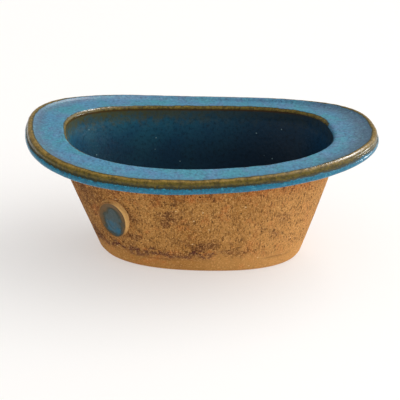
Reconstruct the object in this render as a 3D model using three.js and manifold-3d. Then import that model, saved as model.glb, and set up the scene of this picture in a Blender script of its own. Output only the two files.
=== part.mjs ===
// An oval stoneware bonsai pot: a raw clay body on a slab floor, under a broad glazed rim whose two ends sweep up.
// Units are millimetres, +Z is up and the pot stands on z = 0, under the middle of its overall box. X is the long
// axis, and the front, with its seal, faces -Y. The fired pieces stay separate, with a hair gap at each seam.
import * as THREE from "three";
import { mergeVertices } from "three/addons/utils/BufferGeometryUtils.js";
import Module from "manifold-3d";

const wasm = await Module();
wasm.setup();

// Plan sizes.
const RIM_LENGTH = 180;
const RIM_WIDTH = 115;
const OPENING_LENGTH = 139.4;
const OPENING_WIDTH = 84;
const WALL_TOP_LENGTH = 146;
const WALL_TOP_WIDTH = 91;
const FOOT_LENGTH = 105.6;
const FOOT_WIDTH = 66.7;

// How far each oval fills out towards a rectangle: 2 is an ellipse.
const RIM_SQUARENESS = 2.43;
const OPENING_SQUARENESS = 2.53;
const WALL_TOP_SQUARENESS = 2.19;
const FOOT_SQUARENESS = 2.37;

// The liberties of hand building: the rim sits turned on the foot, is wider at its left end, and nothing is centred.
const RIM_TURN = 6;
const RIM_EGG = 0.1;
const RIM_Y = 1.5;
const OPENING_EGG = 0.03;
const OPENING_X = -1.6;
const OPENING_Y = 2.4;
const WALL_TOP_X = -2.4;
const FOOT_X = 1.3;
const FOOT_Y = 3.4;

// Heights at the middle of a long side, and how far the ends of the rim sweep up above that.
const FLANGE_HEIGHT = 61.5;
const RIM_THICKNESS = 6.2;
const END_RISE = 6.2;
const RECESS_DEPTH = 1.5;
const FLOOR_SLAB_THICKNESS = 5.5;

// Clay, glaze and seams.
const WALL_THICKNESS = 5.5;
const FOOT_RING_WIDTH = 8;
const FOOT_ROUNDING = 1.2;
const GLAZE = 0.6;
const CORNER_FILLET = 3; // where the lining turns from the floor up the wall
const SEAM = 0.25;

// The profile of the rim: a roll under a bead at the outer edge, a dished flange and a rounded inner edge.
const LIP_RADIUS = 2.1;
const BEAD_RADIUS = 2.2;
const BEAD_SETBACK = 3.2;
const BEAD_CREST = 0.9;
const GROOVE_DEPTH = 1.5;
const FLANGE_DISH = 0.5;
const INNER_EDGE_RADIUS = 1.6;
const UNDERSIDE_GLAZED = 0.45; // share of the overhang, from the lip inwards

// Floor openings.
const DRAIN_RADIUS = 7;
const DRAIN_SPACING = 48;
const TIE_HOLE_RADIUS = 1.8;
const TIE_HOLE_X = 39;
const TIE_HOLE_Y = 11;

// Plastic screens over the drains, each held by a bent wire clip through two of its cells.
const SCREEN_CELLS = 7;
const SCREEN_PITCH = 3;
const SCREEN_STRAND = 0.9;
const SCREEN_THICKNESS = 1;
const STRAND_SHARE = 0.6; // of the screen's thickness that each layer of strands takes
const WIRE_RADIUS = 0.5;
const CLIP_LEG_X = 6;
const CLIP_FOOT_REACH = 6;
const CLIP_STEPS = 40;

// The oval seal pad on the front left of the wall, with a pool of glaze sunk in its face.
const SEAL_ANGLE = 227;
const SEAL_HEIGHT = 29.2;
const SEAL_HALF_WIDTH = 8;
const SEAL_HALF_HEIGHT = 12;
const SEAL_BORDER = 1;
const SEAL_SHOULDER = 0.4;
const SEAL_PROUD = 2.3;
const SEAL_POOL_DEPTH = 1.1;
const SEAL_BURIED = 4;

const SEGMENTS = 60;
const HOLE_SEGMENTS = 20;
const SEAL_SEGMENTS = 28;
const MERGE_DISTANCE = 1e-4;

const UNDERSIDE = FLANGE_HEIGHT - RIM_THICKNESS;
const FLOOR_TOP = RECESS_DEPTH + FLOOR_SLAB_THICKNESS;
const SCREEN_BOTTOM = FLOOR_TOP + GLAZE + 2 * SEAM;

const rawClay = new THREE.MeshStandardMaterial({ color: 0xa9743f, roughness: 0.92, metalness: 0 });
const rimBlue = new THREE.MeshStandardMaterial({ color: 0x5a8ea5, roughness: 0.3, metalness: 0 });
const liningTeal = new THREE.MeshStandardMaterial({ color: 0x234659, roughness: 0.2, metalness: 0 });
const sealBlue = new THREE.MeshStandardMaterial({ color: 0x2f7f96, roughness: 0.2, metalness: 0 });
const blackPlastic = new THREE.MeshStandardMaterial({ color: 0x1d1f20, roughness: 0.6, metalness: 0 });
const aluminium = new THREE.MeshStandardMaterial({ color: 0x9a8f84, roughness: 0.4, metalness: 0.9 });

// ---- Ovals ----------------------------------------------------------------------------------------------------
// Egg widens the left end, and turn is in degrees.
function oval(length, width, squareness, { egg = 0, turn = 0, x = 0, y = 0 } = {}) {
  return { halfLength: length / 2, halfWidth: width / 2, squareness, egg, turn, x, y };
}

const RIM_EDGE = oval(RIM_LENGTH, RIM_WIDTH, RIM_SQUARENESS, { egg: RIM_EGG, turn: RIM_TURN, y: RIM_Y });
const OPENING_PLACE = { egg: OPENING_EGG, turn: RIM_TURN, x: OPENING_X, y: OPENING_Y };
const OPENING = oval(OPENING_LENGTH, OPENING_WIDTH, OPENING_SQUARENESS, OPENING_PLACE);
const WALL_TOP_PLACE = { turn: RIM_TURN, x: WALL_TOP_X, y: RIM_Y };
const WALL_TOP = oval(WALL_TOP_LENGTH, WALL_TOP_WIDTH, WALL_TOP_SQUARENESS, WALL_TOP_PLACE);
const FOOT = oval(FOOT_LENGTH, FOOT_WIDTH, FOOT_SQUARENESS, { x: FOOT_X, y: FOOT_Y });
const CENTRE = oval(0, 0, 2, { x: FOOT_X, y: FOOT_Y });

// The oval that lies a share of the way from one to another.
function between(from, to, share) {
  const mixed = Object.keys(from).map((key) => [key, THREE.MathUtils.lerp(from[key], to[key], share)]);
  return Object.fromEntries(mixed);
}

function ovalPoint(shape, angle) {
  const cos = Math.cos(angle);
  const sin = Math.sin(angle);
  const n = shape.squareness;
  const reach = (Math.abs(cos) ** n + Math.abs(sin) ** n) ** (-1 / n);
  const widening = 1 - shape.egg * cos * reach;
  const point = new THREE.Vector2(shape.halfLength * cos * reach, shape.halfWidth * sin * reach * widening);
  point.rotateAround(new THREE.Vector2(), THREE.MathUtils.degToRad(shape.turn));
  return point.add(new THREE.Vector2(shape.x, shape.y));
}

function outwardNormal(shape, angle) {
  const step = 1e-3;
  const along = ovalPoint(shape, angle + step).sub(ovalPoint(shape, angle - step)).normalize();
  return new THREE.Vector2(along.y, -along.x);
}

// ---- Rings: an oval grown by offset, at height z. Lift is the share of the end rise that the ring follows. -----
function ring(shape, offset, z, lift = 1) {
  return { shape, offset, z, lift };
}

function ringPoint({ shape, offset, z, lift }, angle) {
  const point = ovalPoint(shape, angle);
  if (offset !== 0) point.addScaledVector(outwardNormal(shape, angle), offset);
  const rise = END_RISE * lift * (point.x / (RIM_LENGTH / 2)) ** 2;
  return new THREE.Vector3(point.x, point.y, z + rise);
}

// Rings along an arc of the profile, about a centre given by its offset from the oval and its height.
function arc(shape, offset, z, radius, fromDegrees, toDegrees, steps) {
  return Array.from({ length: steps + 1 }, (_, i) => {
    const angle = THREE.MathUtils.degToRad(THREE.MathUtils.lerp(fromDegrees, toDegrees, i / steps));
    return ring(shape, offset + radius * Math.cos(angle), z + radius * Math.sin(angle));
  });
}

const profilePoint = ({ shape, offset, z }) => new THREE.Vector2(shape.halfLength + offset, z);

// The same rings moved in under their own surface by depth. The material lies on the left of the way they run.
function sink(rings, depth) {
  return rings.map((item, i) => {
    const before = profilePoint(rings[Math.max(i - 1, 0)]);
    const along = profilePoint(rings[Math.min(i + 1, rings.length - 1)]).sub(before).normalize();
    return { ...item, offset: item.offset - along.y * depth, z: item.z + along.x * depth };
  });
}

// ---- Solids -------------------------------------------------------------------------------------------------------
// A lathe whose circles are bent into the rings' ovals. The profile closes on itself, or runs from axis to axis.
function ovalLathe(rings) {
  const geometry = new THREE.LatheGeometry(rings.map(profilePoint), SEGMENTS);
  const position = geometry.getAttribute("position");
  for (let i = 0; i < position.count; i += 1) {
    const step = Math.floor(i / rings.length) % SEGMENTS;
    const point = ringPoint(rings[i % rings.length], (step / SEGMENTS) * 2 * Math.PI);
    position.setXYZ(i, point.x, point.y, point.z);
  }
  return geometry;
}

function closed(rings) {
  return [...rings, rings[0]];
}

function toSolid(geometry) {
  const bare = geometry.clone();
  bare.deleteAttribute("normal");
  bare.deleteAttribute("uv");
  const merged = mergeVertices(bare, MERGE_DISTANCE);
  const mesh = new wasm.Mesh({
    numProp: 3,
    vertProperties: merged.getAttribute("position").array,
    triVerts: new Uint32Array(merged.index.array),
  });
  return new wasm.Manifold(mesh);
}

function toGeometry(solid) {
  const mesh = solid.getMesh();
  const geometry = new THREE.BufferGeometry();
  geometry.setAttribute("position", new THREE.BufferAttribute(mesh.vertProperties, 3));
  geometry.setIndex(new THREE.BufferAttribute(mesh.triVerts, 1));
  geometry.computeVertexNormals();
  return geometry;
}

// The same solid with every drain and tie hole drilled through it, each wider by clearance.
function drillFloor(solid, clearance) {
  const drains = [-1, 1].map((side) => [DRAIN_RADIUS, (side * DRAIN_SPACING) / 2, 0]);
  const corners = [-1, 1].flatMap((sideX) => [-1, 1].map((sideY) => [sideX, sideY]));
  const ties = corners.map(([sideX, sideY]) => [TIE_HOLE_RADIUS, sideX * TIE_HOLE_X, sideY * TIE_HOLE_Y]);
  return [...drains, ...ties].reduce((undrilled, [radius, x, y]) => {
    const bore = radius + clearance;
    const drill = new THREE.CylinderGeometry(bore, bore, 4 * FLOOR_TOP, HOLE_SEGMENTS);
    drill.rotateX(Math.PI / 2).translate(FOOT_X + x, FOOT_Y + y, FLOOR_TOP);
    return undrilled.subtract(toSolid(drill));
  }, solid);
}

// ---- Floor and wall ------------------------------------------------------------------------------------------------
const FLOOR_OUTSIDE = between(FOOT, WALL_TOP, FLOOR_TOP / UNDERSIDE);
const WALL_SHARES = [0, 0.25, 0.5, 0.75, 1];

const wallHeight = (share) => THREE.MathUtils.lerp(FLOOR_TOP, UNDERSIDE, share);

// The raw outer face of the wall, at a share of its height.
function wallOutside(share) {
  return ring(between(FLOOR_OUTSIDE, WALL_TOP, share), 0, wallHeight(share), share);
}

// A layer depth below the glazed inner face of the wall, at a share of its height.
function wallInside(share, depth) {
  const inset = THREE.MathUtils.lerp(WALL_THICKNESS, INNER_EDGE_RADIUS, share);
  return ring(between(FLOOR_OUTSIDE, OPENING, share), depth - inset, wallHeight(share), share);
}

function makeFloor() {
  const profile = [
    ring(CENTRE, 0, RECESS_DEPTH, 0),
    ring(FOOT, -FOOT_RING_WIDTH - RECESS_DEPTH, RECESS_DEPTH, 0),
    ring(FOOT, -FOOT_RING_WIDTH, 0, 0),
    ring(FOOT, -FOOT_ROUNDING, 0, 0),
    ring(FOOT, 0, FOOT_ROUNDING, 0),
    ring(FLOOR_OUTSIDE, 0, FLOOR_TOP, 0),
    ring(CENTRE, 0, FLOOR_TOP, 0),
  ];
  return toGeometry(drillFloor(toSolid(ovalLathe(profile)), 0));
}

function makeWall() {
  const outside = WALL_SHARES.map(wallOutside);
  const inside = WALL_SHARES.map((share) => wallInside(share, GLAZE + SEAM));
  for (const face of [outside, inside]) {
    face[0].z += SEAM;
    face.at(-1).z -= SEAM;
  }
  return ovalLathe(closed([...outside, ...inside.reverse()]));
}

// ---- Rim -----------------------------------------------------------------------------------------------------------
// The glazed skin of the rim: under the overhang, round the lip and the bead, in over the flange and its inner edge.
function rimSkin() {
  return [
    ring(between(RIM_EDGE, WALL_TOP, UNDERSIDE_GLAZED), 0, UNDERSIDE),
    ...arc(RIM_EDGE, -LIP_RADIUS, UNDERSIDE + LIP_RADIUS, LIP_RADIUS, -90, 55, 4),
    ring(RIM_EDGE, -GROOVE_DEPTH, UNDERSIDE + 2 * LIP_RADIUS),
    ...arc(RIM_EDGE, -BEAD_SETBACK, FLANGE_HEIGHT + BEAD_CREST - BEAD_RADIUS, BEAD_RADIUS, -5, 140, 4),
    ring(between(RIM_EDGE, OPENING, 0.5), 0, FLANGE_HEIGHT - FLANGE_DISH),
    ...arc(OPENING, 0, FLANGE_HEIGHT - INNER_EDGE_RADIUS, INNER_EDGE_RADIUS, 90, 180, 3),
  ];
}

function makeRimGlaze() {
  const skin = rimSkin();
  return ovalLathe(closed([...skin, ...sink(skin, GLAZE).reverse()]));
}

function makeRimSlab() {
  const bedding = [ring(OPENING, GLAZE + SEAM - INNER_EDGE_RADIUS, UNDERSIDE), ring(WALL_TOP, 0, UNDERSIDE)];
  return ovalLathe(closed([...sink(rimSkin(), GLAZE + SEAM), ...bedding]));
}

// ---- Glaze lining --------------------------------------------------------------------------------------------------
function makeLining() {
  const floorZ = FLOOR_TOP + SEAM;
  const top = FLANGE_HEIGHT - INNER_EDGE_RADIUS - SEAM;
  const hidden = [
    ring(CENTRE, 0, floorZ, 0),
    { ...wallInside(0, GLAZE), z: floorZ },
    ...WALL_SHARES.slice(1).map((share) => wallInside(share, GLAZE)),
    ring(OPENING, GLAZE - INNER_EDGE_RADIUS, top),
  ];
  const showing = [
    ring(OPENING, -INNER_EDGE_RADIUS, top),
    ...WALL_SHARES.slice(1).map((share) => wallInside(share, 0)).reverse(),
    { ...wallInside(0, 0), z: floorZ + GLAZE + CORNER_FILLET },
    { ...wallInside(0, -CORNER_FILLET), z: floorZ + GLAZE },
    ring(CENTRE, 0, floorZ + GLAZE, 0),
  ];
  return toGeometry(drillFloor(toSolid(ovalLathe([...hidden, ...showing])), SEAM));
}

// ---- Seal ----------------------------------------------------------------------------------------------------------
// A piece turned about its own axis, stretched to the seal's oval and laid on the wall with its top facing out.
function sealPiece(profile) {
  const geometry = new THREE.LatheGeometry(profile, SEAL_SEGMENTS).rotateX(Math.PI / 2);
  geometry.scale(1, SEAL_HALF_HEIGHT / SEAL_HALF_WIDTH, 1);
  const share = (SEAL_HEIGHT - FLOOR_TOP) / (UNDERSIDE - FLOOR_TOP);
  const angle = THREE.MathUtils.degToRad(SEAL_ANGLE);
  const at = ringPoint(wallOutside(share), angle);
  const step = 0.01;
  const up = ringPoint(wallOutside(share + step), angle).sub(at);
  const along = ringPoint(wallOutside(share), angle + step).sub(at).normalize();
  const out = along.clone().cross(up).normalize();
  const placing = new THREE.Matrix4().makeBasis(along, out.clone().cross(along), out).setPosition(at);
  return toSolid(geometry.applyMatrix4(placing));
}

// Everything within the raw outer face of the wall, grown by the seam.
function wallBlank() {
  const side = WALL_SHARES.map((share) => ({ ...wallOutside(share), offset: SEAM }));
  const middle = ({ z, lift }) => ring(CENTRE, 0, z, lift);
  return toSolid(ovalLathe([middle(side[0]), ...side, middle(side.at(-1))]));
}

function makeSealPad() {
  const poolRadius = SEAL_HALF_WIDTH - SEAL_BORDER;
  const poolFloor = SEAL_PROUD - SEAL_POOL_DEPTH;
  const profile = [
    new THREE.Vector2(0, -SEAL_BURIED),
    new THREE.Vector2(SEAL_HALF_WIDTH, -SEAL_BURIED),
    new THREE.Vector2(SEAL_HALF_WIDTH, SEAL_PROUD - SEAL_SHOULDER),
    new THREE.Vector2(SEAL_HALF_WIDTH - SEAL_SHOULDER, SEAL_PROUD),
    new THREE.Vector2(poolRadius + SEAL_SHOULDER, SEAL_PROUD),
    new THREE.Vector2(poolRadius, poolFloor),
    new THREE.Vector2(0, poolFloor),
  ];
  return toGeometry(sealPiece(profile).subtract(wallBlank()));
}

function makeSealGlaze() {
  const bottom = SEAL_PROUD - SEAL_POOL_DEPTH + SEAM;
  const radius = SEAL_HALF_WIDTH - SEAL_BORDER - SEAM;
  const profile = [
    new THREE.Vector2(0, bottom),
    new THREE.Vector2(radius, bottom),
    new THREE.Vector2(radius, bottom + GLAZE / 2),
    new THREE.Vector2(radius * 0.7, bottom + GLAZE),
    new THREE.Vector2(0, bottom + GLAZE),
  ];
  return toGeometry(sealPiece(profile));
}

// ---- Drain screens and clips ---------------------------------------------------------------------------------------
// Two layers of strands that cross at right angles and are moulded into each other where they meet.
function makeScreen() {
  const side = SCREEN_CELLS * SCREEN_PITCH + SCREEN_STRAND;
  const depth = SCREEN_THICKNESS * STRAND_SHARE;
  const strands = Array.from({ length: SCREEN_CELLS + 1 }, (_, i) => {
    const place = (i - SCREEN_CELLS / 2) * SCREEN_PITCH;
    const lower = new THREE.BoxGeometry(side, SCREEN_STRAND, depth).translate(0, place, depth / 2);
    const upper = new THREE.BoxGeometry(SCREEN_STRAND, side, depth).translate(place, 0, SCREEN_THICKNESS - depth / 2);
    return toSolid(lower).add(toSolid(upper));
  });
  const sheet = strands.reduce((joined, pair) => joined.add(pair));
  return toGeometry(sheet).translate(0, 0, SCREEN_BOTTOM);
}

// Straight runs between the corners, with each corner turned into a bend.
function bentWire(corners, bend) {
  const path = new THREE.CurvePath();
  let start = corners[0];
  corners.slice(1, -1).forEach((corner, i) => {
    const towards = (other) => corner.clone().add(other.clone().sub(corner).setLength(bend));
    const before = towards(corners[i]);
    const after = towards(corners[i + 2]);
    path.add(new THREE.LineCurve3(start, before));
    path.add(new THREE.QuadraticBezierCurve3(before, corner, after));
    start = after;
  });
  path.add(new THREE.LineCurve3(start, corners.at(-1)));
  return path;
}

// A staple over the screen, whose two legs go down through the drain and splay out under the floor.
function makeClip() {
  const top = SCREEN_BOTTOM + SCREEN_THICKNESS + SEAM + WIRE_RADIUS;
  const foot = RECESS_DEPTH - SEAM - WIRE_RADIUS;
  const right = [
    new THREE.Vector3(CLIP_LEG_X, 0, top),
    new THREE.Vector3(CLIP_LEG_X, 0, foot),
    new THREE.Vector3(CLIP_LEG_X + CLIP_FOOT_REACH, 0, foot),
  ];
  const left = right.map(({ x, z }) => new THREE.Vector3(-x, 0, z)).reverse();
  const extrudePath = bentWire([...left, ...right], 2 * WIRE_RADIUS);
  const section = new THREE.Shape().absarc(0, 0, WIRE_RADIUS, 0, 2 * Math.PI);
  return new THREE.ExtrudeGeometry(section, { extrudePath, steps: CLIP_STEPS, curveSegments: 4 });
}

// ---- Assembly ------------------------------------------------------------------------------------------------------
function piece(name, geometry, material) {
  const mesh = new THREE.Mesh(geometry, material);
  mesh.name = name;
  return mesh;
}

const pot = new THREE.Group();
pot.add(
  piece("floor_slab", makeFloor(), rawClay),
  piece("body_wall", makeWall(), rawClay),
  piece("rim_slab", makeRimSlab(), rawClay),
  piece("rim_glaze", makeRimGlaze(), rimBlue),
  piece("lining_glaze", makeLining(), liningTeal),
  piece("seal_pad", makeSealPad(), rawClay),
  piece("seal_glaze", makeSealGlaze(), sealBlue),
);
for (const [side, sign] of [["left", -1], ["right", 1]]) {
  const drain = new THREE.Group();
  drain.position.set(FOOT_X + (sign * DRAIN_SPACING) / 2, FOOT_Y, 0);
  drain.add(piece(`drain_screen_${side}`, makeScreen(), blackPlastic));
  drain.add(piece(`screen_clip_${side}`, makeClip(), aluminium));
  pot.add(drain);
}

export default pot;
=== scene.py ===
"""An oval bonsai pot: raw grogged stoneware under a blue glaze that breaks olive brown on its edges.

Shapes are worked out in millimetres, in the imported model's frame, and become metres as meshes are made.
"""

import math

import bpy
import numpy as np
from mathutils import Matrix, Vector, noise


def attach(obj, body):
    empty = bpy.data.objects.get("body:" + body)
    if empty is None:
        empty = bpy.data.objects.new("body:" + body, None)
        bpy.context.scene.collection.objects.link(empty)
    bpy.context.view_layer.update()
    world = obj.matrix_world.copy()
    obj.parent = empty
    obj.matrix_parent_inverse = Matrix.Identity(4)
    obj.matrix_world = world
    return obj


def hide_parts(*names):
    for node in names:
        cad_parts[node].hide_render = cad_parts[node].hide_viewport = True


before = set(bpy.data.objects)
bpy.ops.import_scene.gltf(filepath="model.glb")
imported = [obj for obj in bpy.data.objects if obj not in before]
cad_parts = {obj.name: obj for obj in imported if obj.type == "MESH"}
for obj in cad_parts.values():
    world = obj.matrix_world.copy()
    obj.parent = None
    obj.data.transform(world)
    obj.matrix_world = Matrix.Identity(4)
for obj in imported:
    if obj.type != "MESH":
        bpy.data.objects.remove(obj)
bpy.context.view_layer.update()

MM = 0.001
TINY = 1e-12  # keeps a zero length from dividing by zero

# ---- The pot's driving sizes, in millimetres and degrees ------------------------------
RIM_LENGTH = 180
RIM_WIDTH = 115
RIM_TURN = 6
FLANGE_HEIGHT = 61.5
RIM_THICKNESS = 6.2
END_RISE = 6.2
RECESS_DEPTH = 1.5
FLOOR_SLAB_THICKNESS = 5.5
WALL_THICKNESS = 5.5
FOOT_X = 1.3
FOOT_Y = 3.4
FOOT_RING_WIDTH = 8
FOOT_ROUNDING = 1.6
GLAZE = 0.6
GAP = 0.1  # between skins that meet out of sight

LIP_RADIUS = 2.1
BEAD_RADIUS = 2.2
BEAD_SETBACK = 3.2
BEAD_CREST = 0.9
GROOVE_DEPTH = 1.5
FLANGE_DISH = 0.5
INNER_EDGE_RADIUS = 1.6
UNDERSIDE_GLAZED = 0.45

DRAIN_RADIUS = 7
DRAIN_SPACING = 48
TIE_HOLE_RADIUS = 1.8
TIE_HOLE_X = 39
TIE_HOLE_Y = 11
HOLE_EASE = 0.7

SEAL_ANGLE = 227
SEAL_HEIGHT = 29.2
SEAL_HALF_WIDTH = 8
SEAL_HALF_HEIGHT = 12
SEAL_BORDER = 1
SEAL_PROUD = 2.3
SEAL_POOL_DEPTH = 1.1

UNDERSIDE = FLANGE_HEIGHT - RIM_THICKNESS
FLOOR_TOP = RECESS_DEPTH + FLOOR_SLAB_THICKNESS
AROUND = 760  # steps round the pot
CORE = 0.04  # size of the rings that close a piece in its middle, as a share of its outline


# ---- Ovals and rings -------------------------------------------------------------------
def oval(length, width, squareness, egg=0.0, turn=0.0, x=0.0, y=0.0):
    """Squareness 2 is an ellipse, egg widens the left end, and turn is in degrees."""
    return np.array([length / 2, width / 2, squareness, egg, turn, x, y], float)


RIM_EDGE = oval(RIM_LENGTH, RIM_WIDTH, squareness=2.43, egg=0.1, turn=RIM_TURN, y=1.5)
OPENING = oval(length=139.4, width=84, squareness=2.53, egg=0.03, turn=RIM_TURN, x=-1.6, y=2.4)
WALL_TOP = oval(length=146, width=91, squareness=2.19, turn=RIM_TURN, x=-2.4, y=1.5)
FOOT = oval(length=105.6, width=66.7, squareness=2.37, x=FOOT_X, y=FOOT_Y)
CENTRE = oval(length=0, width=0, squareness=2, x=FOOT_X, y=FOOT_Y)


def between(start, end, share):
    return start + (end - start) * share


def unit(vectors):
    return vectors / (np.linalg.norm(vectors, axis=-1, keepdims=True) + TINY)


def oval_points(shape, angles):
    half_length, half_width, squareness, egg, turn, x, y = shape
    cos, sin = np.cos(angles), np.sin(angles)
    reach = (np.abs(cos) ** squareness + np.abs(sin) ** squareness) ** (-1 / squareness)
    along = half_length * cos * reach
    across = half_width * sin * reach * (1 - egg * cos * reach)
    c, s = math.cos(math.radians(turn)), math.sin(math.radians(turn))
    return np.stack([along * c - across * s + x, along * s + across * c + y], -1)


def outward(shape, angles):
    step = 1e-3
    tangent = unit(oval_points(shape, angles + step) - oval_points(shape, angles - step))
    return np.stack([tangent[..., 1], -tangent[..., 0]], -1)


def ring(shape, offset, z, lift=1.0):
    """An oval grown by offset, at height z. Lift is the share of the end rise that it follows."""
    return (shape, offset, z, lift)


def end_rise(x):
    """How far the pot's upswept ends rise at a distance x from its middle."""
    return END_RISE * (x / (RIM_LENGTH / 2)) ** 2


def ring_points(item, angles):
    shape, offset, z, lift = item
    flat = oval_points(shape, angles)
    if offset:
        flat = flat + offset * outward(shape, angles)
    height = z + lift * end_rise(flat[..., 0])
    return np.concatenate([flat, height[..., None]], -1)


def arc(shape, offset, z, radius, turns):
    """Rings whose profile is an arc: offset and z are its centre, and turns its angles in degrees."""
    return [ring(shape, offset + radius * math.cos(t), z + radius * math.sin(t)) for t in np.radians(turns)]


def loft(rings, angles):
    """Points of every ring, as an array of ring by angle by XYZ."""
    return np.stack([ring_points(item, angles) for item in rings])


ANGLES = np.linspace(0, 2 * math.pi, AROUND, endpoint=False)


# ---- Grids: ring by angle by XYZ -------------------------------------------------------
def profile_places(grid):
    """How far along the profile each ring lies, on average round the pot."""
    steps = np.linalg.norm(np.diff(grid, axis=0), axis=-1).mean(1)
    return np.concatenate([[0], np.cumsum(steps)])


def resample(grid, count):
    """The same surface with count rings, evenly spaced along the profile."""
    along = profile_places(grid)
    places = np.linspace(0, along[-1], count)
    flat = grid.reshape(len(grid), -1)
    columns = [np.interp(places, along, flat[:, i]) for i in range(flat.shape[1])]
    return np.stack(columns, 1).reshape(count, grid.shape[1], 3)


def soften(grid, rounds):
    """Rounds off the corners of the profile, keeping its first and last rings."""
    for _ in range(rounds):
        grid[1:-1] = 0.5 * grid[1:-1] + 0.25 * (grid[:-2] + grid[2:])
    return grid


def normals(grid):
    """Outward normals of a grid whose material lies on the left of its profile."""
    along = np.gradient(grid, axis=0)
    sideways = np.roll(grid, -1, 1) - np.roll(grid, 1, 1)
    return unit(np.cross(sideways, along))


def field(points, period, seed):
    """Smooth noise from -1 to 1 with features about half a period wide."""
    flat = points.reshape(-1, 3) / period + seed
    values = np.fromiter((noise.noise(p) for p in flat), float, len(flat))
    return values.reshape(points.shape[:-1])


def waves(points, layers):
    """The sum of layers of noise, each given as its height, period and seed."""
    return sum(height * field(points, period, seed) for height, period, seed in layers)


def smoothstep(low, high, value):
    t = np.clip((value - low) / (high - low), 0, 1)
    return t * t * (3 - 2 * t)


def extended(looks, hidden):
    """The same looks with zeros for hidden rings that follow."""
    blank = np.zeros(hidden.shape[:2])
    return {key: np.concatenate([values, blank]) for key, values in looks.items()}


# ---- Meshes ----------------------------------------------------------------------------
SHARP_ANGLE = 75


def new_object(name, vertices, faces, attributes=None):
    mesh = bpy.data.meshes.new(name)
    mesh.from_pydata((np.asarray(vertices) * MM).tolist(), [], faces)
    for key, values in (attributes or {}).items():
        layer = mesh.attributes.new(key, "FLOAT", "POINT")
        layer.data.foreach_set("value", np.asarray(values, np.float32).ravel())
    mesh.polygons.foreach_set("use_smooth", [True] * len(mesh.polygons))
    mesh.set_sharp_from_angle(angle=math.radians(SHARP_ANGLE))
    mesh.update()
    obj = bpy.data.objects.new(name, mesh)
    bpy.context.scene.collection.objects.link(obj)
    return obj


def band_faces(rows, columns, closed):
    """Quads over a grid that closes round its columns, and along its rows too if closed."""
    last = rows if closed else rows - 1
    i, j = np.meshgrid(np.arange(last), np.arange(columns), indexing="ij")
    up, side = (i + 1) % rows, (j + 1) % columns
    corners = [i * columns + j, i * columns + side, up * columns + side, up * columns + j]
    return np.stack(corners, -1).reshape(-1, 4).tolist()


def closed_band(name, grid, attributes=None):
    rows, columns = grid.shape[:2]
    return new_object(name, grid.reshape(-1, 3), band_faces(rows, columns, True), attributes)


def capped_band(name, grid, attributes=None):
    """A band whose first and last rings are closed by a fan to their centres."""
    rows, columns = grid.shape[:2]
    faces = band_faces(rows, columns, False)
    vertices = grid.reshape(-1, 3)
    centres = [grid[0].mean(0), grid[-1].mean(0)]
    first, last = len(vertices), len(vertices) + 1
    top = (rows - 1) * columns
    for j in range(columns):
        side = (j + 1) % columns
        faces.append([first, side, j])
        faces.append([last, top + j, top + side])
    padded = {}
    for key, values in (attributes or {}).items():
        flat = np.ravel(values)
        padded[key] = np.append(flat, [flat[0], flat[-1]])
    return new_object(name, np.vstack([vertices, centres]), faces, padded)


# ---- Cutting and finishing -------------------------------------------------------------
def lathe_piece(name, profile, x, y, steps=48):
    """A closed round solid about an upright axis, from (radius, z) pairs that run from bottom to top."""
    turns = np.linspace(0, 2 * math.pi, steps, endpoint=False)
    circle = np.stack([np.cos(turns), np.sin(turns)], -1)
    rings = [np.column_stack([circle * radius + (x, y), np.full(steps, z)]) for radius, z in profile]
    return capped_band(name, np.stack(rings))


def drill(obj, bottom, top, extra=0.0):
    """Cuts the drain and tie holes through a floor layer, with their edges eased."""
    drains = [(DRAIN_RADIUS, side * DRAIN_SPACING / 2, 0) for side in (-1, 1)]
    ties = [(TIE_HOLE_RADIUS, i * TIE_HOLE_X, j * TIE_HOLE_Y) for i in (-1, 1) for j in (-1, 1)]
    ease = min(HOLE_EASE, (top - bottom) / 3)
    for radius, x, y in drains + ties:
        r = radius + extra
        wide = r + 2 * ease
        profile = [(wide, bottom - ease), (r, bottom + ease), (r, top - ease), (wide, top + ease)]
        bit = lathe_piece("drill_bit", profile, FOOT_X + x, FOOT_Y + y)
        cut = obj.modifiers.new("cut", "BOOLEAN")
        cut.object = bit
        cut.solver = "EXACT"
        apply_modifiers(obj)
        bpy.data.objects.remove(bit)
    return obj


def apply_modifiers(obj):
    graph = bpy.context.evaluated_depsgraph_get()
    graph.update()
    shown = obj.evaluated_get(graph)
    mesh = bpy.data.meshes.new_from_object(shown, preserve_all_data_layers=True, depsgraph=graph)
    obj.modifiers.clear()
    obj.data = mesh


def finish_piece(obj, material, node):
    """Gives a piece its material, hangs it under the root body and hides the CAD node that it stands for.
    """
    obj.data.materials.clear()
    obj.data.materials.append(material)
    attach(obj, "root")
    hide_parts(node)


# ---- Clay relief -----------------------------------------------------------------------
DRAG = unit(np.array([0.35, 0.1, -1.0]))  # the way the clay was dragged
HAND_WAVES = [(0.3, 52, 1.9), (0.12, 13, 8.8)]
PATCH_DRIFT = 200  # in millimetres: how slowly patches get rarer to the right
STREAK_HEIGHT = 0.05
TEAR_DEPTH, TEAR_WEAR = 0.2, 0.55
PIT_DEPTH, PIT_WEAR = 0.32, 0.9
SCRATCH_DEPTH, SCRATCH_WEAR = 0.16, 0.5
SCRATCH_COUNT = 90
SCRATCH_LEAN, SCRATCH_LEAN_SPREAD = -1.1, 0.5  # radians
SCRATCH_HALF_LENGTHS = (2, 9)
SCRATCH_HALF_WIDTHS = (0.25, 0.5)
SCRATCH_STRENGTHS = (0.4, 1)


def streaked(points, period, seed, length):
    """Noise drawn out along the drag direction, length times as long as it is wide."""
    along = points @ DRAG
    squeezed = points - (along * (1 - 1 / length))[..., None] * DRAG
    return field(squeezed, period, seed)


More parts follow.
